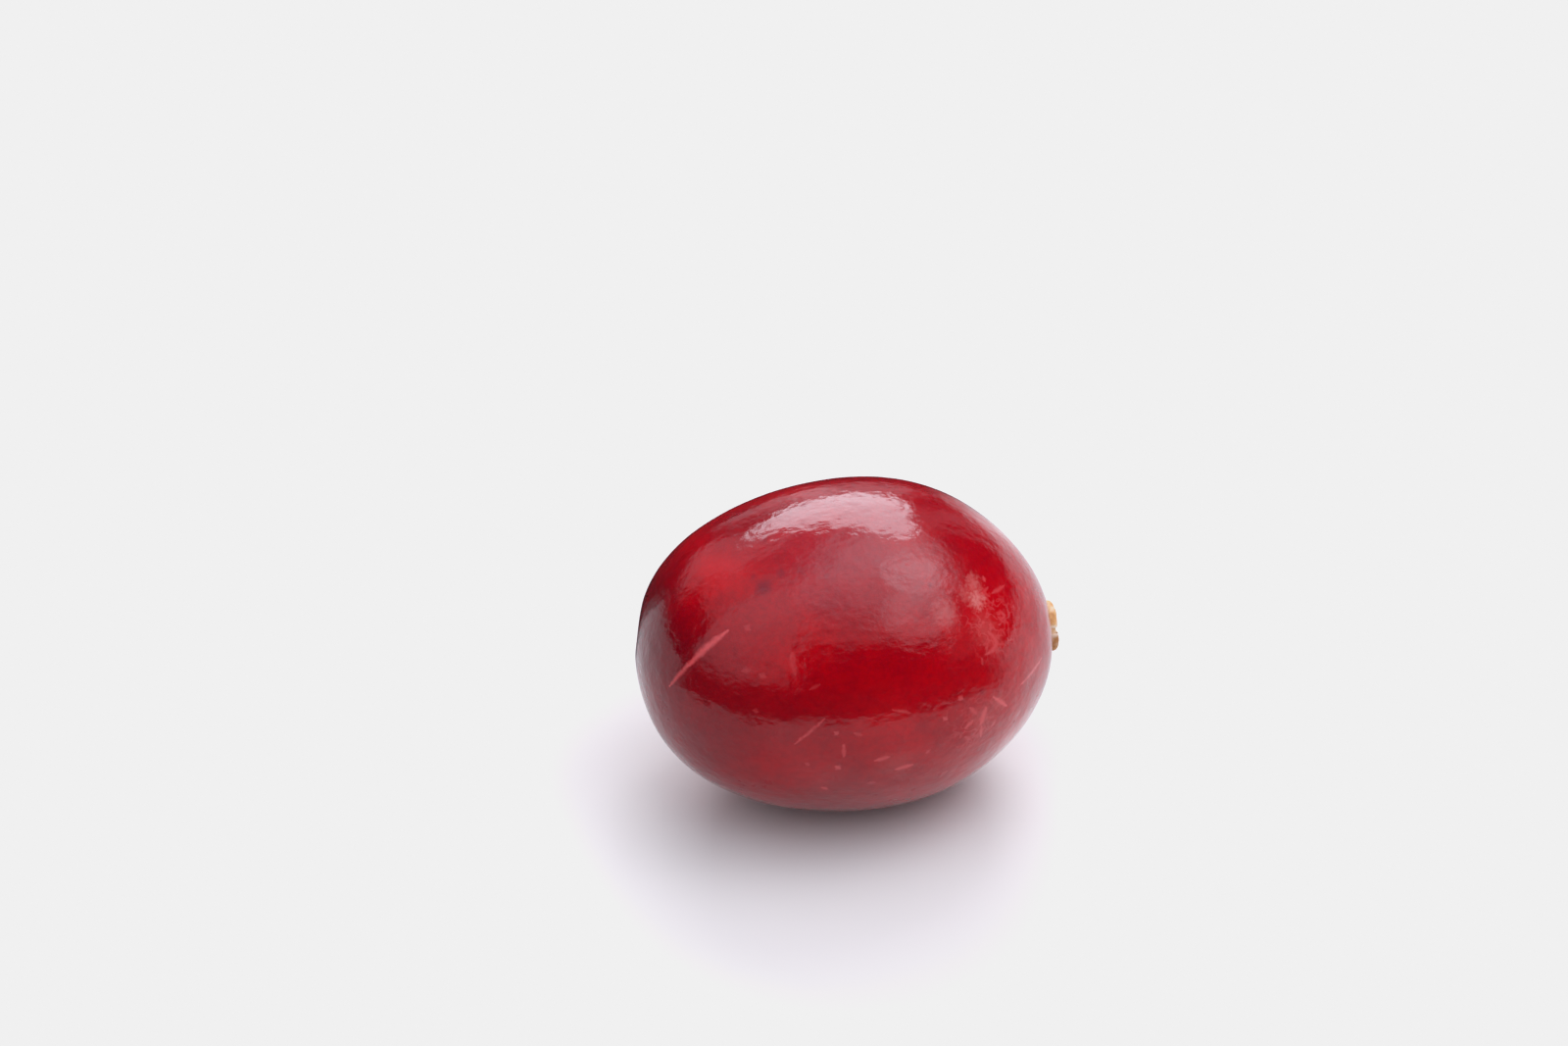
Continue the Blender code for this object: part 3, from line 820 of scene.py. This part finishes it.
def paintSkin():
    # Waxed fruit skin: deep red seen through a clear cuticle, broken by pale scuffs and darker blotches, with
    # painted shade darkening its stem end, its underside and its top edge
    tree, shader = skinTree, skinShader
    add = partial(addNode, tree)
    point = inMillimetres(tree, berryMiddle)
    broad = add(noises, {"Vector": point, "Scale": skin["toneScale"], "Detail": 3.0, "Roughness": 0.5})
    mottle = add(noises, {"Vector": point, "Scale": skin["mottleScale"], "Detail": 4.0, "Roughness": 0.55})
    tone = add(ranges, {"Value": broad, "From Min": 0.35, "From Max": 0.65}, **easing)
    red = add(mixes, {0: tone, 6: hexColour(skin["crimson"]), 7: hexColour(skin["scarlet"])}, **colours)
    blotch = add(ranges, {"Value": mottle, "From Min": 0.60, "From Max": 0.36, "To Max": 0.16}, **easing)
    dark = add(mixes, {0: blotch, 6: red, 7: hexColour(skin["wine"])}, **colours)
    # scuffs and flecks, with edges broken by a fine wobble
    wobble = add(noises, {"Vector": point, "Scale": skin["wobbleScale"], "Detail": 2.0}, out=1)
    centred = add(vectors, [wobble, noiseMiddle], operation="SUBTRACT")
    shift = add(vectors, {0: centred, "Scale": skin["wobble"]}, operation="SCALE")
    shaken = add(vectors, [point, shift], operation="ADD")
    clouding = add(vectors, [centred, (skin["cloudWobble"],) * 3, point], operation="MULTIPLY_ADD")
    group = markGroup()

    def coverOf(where, marks):
        # The strongest cover of all the marks of one kind
        whole = 0.0
        for line, width, strength in marks:
            places = [tuple((onSkin(*at) - berryMiddle) / mm) for at in line]
            for k, (start, end) in enumerate(zip(places, places[1:] or places)):
                # a line narrows at its two ends, and a round spot has none
                first, last = k == 0 and len(line) > 1, k == len(line) - 2
                cover = add("ShaderNodeGroup", {
                    "Point": where, "Start": start, "End": end, "Width": width,
                    "Thin start": skin["thinning"] * first, "Thin end": skin["thinning"] * last},
                    node_tree=group)
                part = add(maths, [cover, strength], operation="MULTIPLY")
                whole = add(maths, [part, whole], operation="MAXIMUM")
        return whole

    def spots(table):
        return [([at], radius, strength) for at, radius, strength in table]

    freckle = add(noises, {"Vector": point, "Scale": skin["freckleScale"], "Detail": 3.0, "Roughness": 0.7})
    freckled = add(ranges, {"Value": freckle, "From Min": 0.42, "From Max": 0.62, "To Max": 0.26})
    toned = add(mixes, {0: freckled, 6: dark, 7: hexColour(skin["freckle"])}, **colours)
    drift = add(noises, {"Vector": point, "Scale": skin["driftScale"], "Detail": 3.0, "Roughness": 0.6},
                out=1)
    drifting = add(vectors, [drift, noiseMiddle], operation="SUBTRACT")
    drifted = add(vectors, [drifting, (skin["drift"],) * 3, point], operation="MULTIPLY_ADD")
    # broad tones, the darker ones painted shade at the stem end, low down, underneath and along the top
    for at, radius, code, strength in tonesAndShade:
        share = coverOf(drifted, [([at], radius, strength)])
        toned = add(mixes, {0: share, 6: toned, 7: hexColour(code)}, **colours)
    bruised = coverOf(shaken, spots(darkSpots))
    spotted = add(mixes, {0: bruised, 6: toned, 7: hexColour(skin["bruise"])}, **colours)
    # a fine net of pale scar tissue on the side towards the calyx
    netting = add(noises, {"Vector": point, "Scale": skin["netScale"], "Detail": 2.0, "Roughness": 0.6})
    offLine = add(maths, [netting, 0.5], operation="SUBTRACT")
    offLine = add(maths, [offLine], operation="ABSOLUTE")
    lace = add(ranges, {"Value": offLine, "From Min": 0.045, "From Max": 0.008}, **easing)
    netPatch = coverOf(drifted, spots(netPatches))
    netted = add(maths, [lace, netPatch], operation="MULTIPLY")
    clouded = coverOf(clouding, spots(paleClouds))
    scuffed = coverOf(shaken, paleMarks + farMarks)
    scarred = add(maths, [scuffed, netted], operation="MAXIMUM")
    misted = add(mixes, {0: clouded, 6: spotted, 7: hexColour(skin["cloud"])}, **colours)
    marked = add(mixes, {0: scarred, 6: misted, 7: hexColour(skin["scar"])}, **colours)
    # waxy bloom left unpolished in the shelter of the calyx, in grains
    toCalyx = tuple((calyx["seat"] - berryMiddle) / mm)
    away = add(vectors, [drifting, (skin["bloomDrift"],) * 3, point], operation="MULTIPLY_ADD")
    away = add(vectors, [away, toCalyx], out=1, operation="DISTANCE")
    veil = add(ranges, {"Value": away, "From Min": skin["bloomReach"][0],
               "From Max": skin["bloomReach"][1], "To Max": skin["bloomCover"]}, **easing)
    grains = add("ShaderNodeTexVoronoi", {"Vector": point, "Scale": skin["grainScale"]})
    grained = add(ranges, {"Value": grains, "From Min": 0.55, "From Max": 0.20, "To Min": 0.25})
    bloom = add(maths, [veil, grained], operation="MULTIPLY")
    bloomed = add(mixes, {0: bloom, 6: marked, 7: hexColour(skin["bloom"])}, **colours)
    tree.links.new(bloomed, shader.inputs["Base Color"])
    # gloss: a waxed cuticle over a duller skin
    dull = add(ranges, {"Value": mottle, "To Min": 0.22, "To Max": 0.36})
    tree.links.new(dull, shader.inputs["Roughness"])
    shader.inputs["IOR"].default_value = 1.42
    shader.inputs["Specular IOR Level"].default_value = 0.06
    shader.inputs["Coat Weight"].default_value = 1.0
    shader.inputs["Coat Roughness"].default_value = 0.09
    shader.inputs["Coat IOR"].default_value = 1.40
    shader.inputs["Subsurface Weight"].default_value = 0.35
    shader.inputs["Subsurface Radius"].default_value = (1.0, 0.12, 0.10)
    shader.inputs["Subsurface Scale"].default_value = 1.5 * mm
    # ripples about 1 mm across and a grain of about 0.3 mm, a little longer along the fruit
    stretched = add("ShaderNodeMapping", {"Vector": point, "Scale": (0.8, 1.0, 1.0)})
    ripple = add(noises, {"Vector": stretched, "Scale": 1.0, "Detail": 2.0, "Roughness": 0.5})
    grain = add(noises, {"Vector": stretched, "Scale": 3.6, "Detail": 3.0, "Roughness": 0.55})
    relief = add(maths, [grain, 0.30, ripple], operation="MULTIPLY_ADD")
    bump = add("ShaderNodeBump", {"Height": relief, "Distance": skin["relief"], "Strength": 1.0})
    tree.links.new(bump, shader.inputs["Normal"])
    tree.links.new(bump, shader.inputs["Coat Normal"])


paintSkin()
print("skin painted")


# Studio: a main soft box of three rounds behind the berry, weaker ones over it, pale walls, a white floor

studio = {
    # turn in degrees from straight behind the berry towards the picture's right, height in degrees, radius
    "mainBox": [(-1, 36, 17.5), (18, 50, 10.5), (-20, 38, 7)],
    "mainEdge": 2.0,
    "mainBrightness": 5.3,
    # the same, then softness of the edge and brightness
    "softBoxes": [
        (95, 68, 26, 14, 1.3),
        (90, 60, 12.5, 6, 1.9),
        (45, 68, 20, 12, 1.1),
        (128, 42, 17, 6, 1.25),
        (0, 90, 40, 24, 0.45),
    ],
    # turn from and to, height from and to, softness in both, brightness
    "walls": [
        (-169, -104, 18, 200, 1.5, 7, 0.24),
        (-169, -104, 8, 200, 1.2, 2.5, 0.42),
        (-150, -104, 4, 200, 6, 3, 0.18),
        (-104, -68, 34, 200, 5, 4, 0.36),
        (-66, -28, 15, 56, 5, 5, 0.62),
        (-200, -169, 38, 200, 2, 3.5, 0.30),
        (150, 200, 34, 200, 10, 4, 0.35),
        (95, 128, 4, 30, 8, 5, 0.20),
        (25, 74, -5, 5.5, 5, 2.5, 0.65),
        (-20, 12, -4, 17, 4, 2, 0.42),
        (-9, -4, -4, 18, 1.5, 2, 0.40),
        (22, 36, 8, 46, 5, 6, 0.30),
        (-68, -54, -6, 6, 4, 4, 0.20),
    ],
    "tint": (0.985, 0.975, 1.09),
    "fill": 0.10,       # soft light from all sides, too even to be told apart in the gloss
    "dimRoom": 0.01,    # what the gloss shows of the unlit room
    "paper": "#DCDAD7",
    "backdrop": "#F0F0F0",
    "floorSize": 3.0,   # m, from its middle to its edge
    # Seen only in the gloss. The lens side sets in between these turns, to the left and right alike.
    # There the floor is unlit past its reach, and a little dim already from nearby on
    "lensSide": (86, 112),
    "floorReach": (27 * mm, 40 * mm),
    "nearby": (10 * mm, 18 * mm),
    "nearbyDimming": 0.22,
    "squeeze": (0.74, 1, 1),     # the reach is longer along the fruit
    "unlitPaper": (0.01, 0.01, 0.01, 1.0),
    # turn from and to, softness, and how far the floor is dimmed there, but not right under the berry
    "blockedTurns": [(-56, 19, 9, 1.0), (-165, -56, 12, 0.35), (24, 72, 9, 0.26)],
    "underBerry": (4 * mm, 9 * mm),
    "knee": (0.06, 0.03),        # the tone curve bends from this far below the white to this far above
}


def between(tree, value, low, high, soft):
    # 1 inside a range, falling off softly past both of its ends
    middle, half = (low + high) / 2, (high - low) / 2
    off = addNode(tree, maths, [value, middle], operation="SUBTRACT")
    away = addNode(tree, maths, [off], operation="ABSOLUTE")
    return addNode(tree, ranges, {"Value": away, "From Min": half + soft, "From Max": half - soft}, **easing)


def turnAndHeight(tree, way):
    # Degrees round from straight behind the berry, and above the floor
    behind = addNode(tree, vectors, [way, tuple(lookFlat)], out=1, operation="DOT_PRODUCT")
    aside = addNode(tree, vectors, [way, tuple(lookRight)], out=1, operation="DOT_PRODUCT")
    turn = addNode(tree, maths, [aside, behind], operation="ARCTAN2")
    rise = addNode(tree, splits, [way], out=2)
    height = addNode(tree, maths, [rise], operation="ARCSINE")
    return [addNode(tree, maths, [angle], operation="DEGREES") for angle in (turn, height)]


def makeLight():
    world = bpy.data.worlds.new("studioLight")
    world.use_nodes = True
    bpy.context.scene.world = world
    tree = world.node_tree
    tree.nodes.clear()
    add = partial(addNode, tree)
    way = add("ShaderNodeTexCoord", out=0)
    turn, height = turnAndHeight(tree, way)

    def roundBox(t, h, radius, soft, bright):
        flat = lookFlat * cos(radians(t)) + lookRight * sin(radians(t))
        middle = flat * cos(radians(h)) + Vector((0, 0, sin(radians(h))))
        facing = add(vectors, [way, tuple(middle)], out=1, operation="DOT_PRODUCT")
        return add(ranges, {"Value": facing, "From Min": cos(radians(radius + soft)),
                   "From Max": cos(radians(radius - soft)), "To Max": bright}, **easing)

    main = 0.0
    for t, h, radius in studio["mainBox"]:
        disc = roundBox(t, h, radius, studio["mainEdge"], studio["mainBrightness"])
        main = add(maths, [disc, main], operation="MAXIMUM")
    parts = [main] + [roundBox(*box) for box in studio["softBoxes"]]
    for turnFrom, turnTo, low, high, softTurn, softHeight, bright in studio["walls"]:
        wide = between(tree, turn, turnFrom, turnTo, softTurn)
        tall = between(tree, height, low, high, softHeight)
        wall = add(maths, [wide, tall], operation="MULTIPLY")
        parts.append(add(maths, [wall, bright], operation="MULTIPLY"))
    rays = tree.nodes.new("ShaderNodeLightPath")
    total = add(ranges, {"Value": rays.outputs["Is Glossy Ray"], "To Min": studio["fill"],
                "To Max": studio["dimRoom"]})
    for part in parts:
        total = add(maths, [total, part], operation="ADD")
    cool = add(vectors, {0: studio["tint"], "Scale": total}, operation="SCALE")
    lit = add("ShaderNodeBackground", {"Color": cool, "Strength": 1.0})
    seen = add("ShaderNodeBackground", {"Color": hexColour(studio["backdrop"]), "Strength": 1.0})
    both = add("ShaderNodeMixShader", [rays.outputs["Is Camera Ray"], lit, seen])
    add("ShaderNodeOutputWorld", [both])


def makeFloor():
    # Matt white paper. In the berry's gloss it ends early on the lens side and is dimmed in some turns
    material, tree, shader = newMaterial("mattStudioPaper")
    add = partial(addNode, tree)
    spot = add("ShaderNodeTexCoord", out=3)
    turn, _ = turnAndHeight(tree, spot)
    squeezed = add(vectors, [spot, studio["squeeze"]], operation="MULTIPLY")
    far = add(vectors, [squeezed], out=1, operation="LENGTH")
    turned = add(maths, [turn], operation="ABSOLUTE")

    def past(value, span, most=1.0):
        return add(ranges, {"Value": value, "From Min": span[0], "From Max": span[1], "To Max": most},
                   **easing)

    ended = past(far, studio["floorReach"])
    lensSide = past(turned, studio["lensSide"])
    near = past(far, studio["nearby"], studio["nearbyDimming"])
    edge = add(maths, [ended, near], operation="MAXIMUM")
    dim = add(maths, [edge, lensSide], operation="MULTIPLY")
    clear = past(far, studio["underBerry"])
    for turnFrom, turnTo, soft, share in studio["blockedTurns"]:
        wedge = between(tree, turn, turnFrom, turnTo, soft)
        weak = add(maths, [wedge, share], operation="MULTIPLY")
        block = add(maths, [weak, clear], operation="MULTIPLY")
        dim = add(maths, [dim, block], operation="MAXIMUM")
    rays = tree.nodes.new("ShaderNodeLightPath")
    mirrored = add(maths, [dim, rays.outputs["Is Glossy Ray"]], operation="MULTIPLY")
    paper = add(mixes, {0: mirrored, 6: hexColour(studio["paper"]), 7: studio["unlitPaper"]}, **colours)
    tree.links.new(paper, shader.inputs["Base Color"])
    shader.inputs["Roughness"].default_value = 1.0
    shader.inputs["Specular IOR Level"].default_value = 0.0
    shape = bmesh.new()
    bmesh.ops.create_grid(shape, x_segments=1, y_segments=1, size=studio["floorSize"])
    floor = fromMeshCode("studioFloor", shape, material)


makeLight()
makeFloor()


def holdWhite():
    # The picture's white is a pale grey, #F0F0F0, and nothing is brighter
    view = bpy.context.scene.view_settings
    view.view_transform = "Standard"
    view.use_curve_mapping = True
    whole = view.curve_mapping.curves[3]
    white = hexColour(studio["backdrop"])[0]
    below, above = studio["knee"]
    whole.points[1].location = (white + above, white)
    whole.points.new(white - below, white - below)
    view.curve_mapping.extend = "HORIZONTAL"
    view.curve_mapping.update()


holdWhite()
print("studio made")
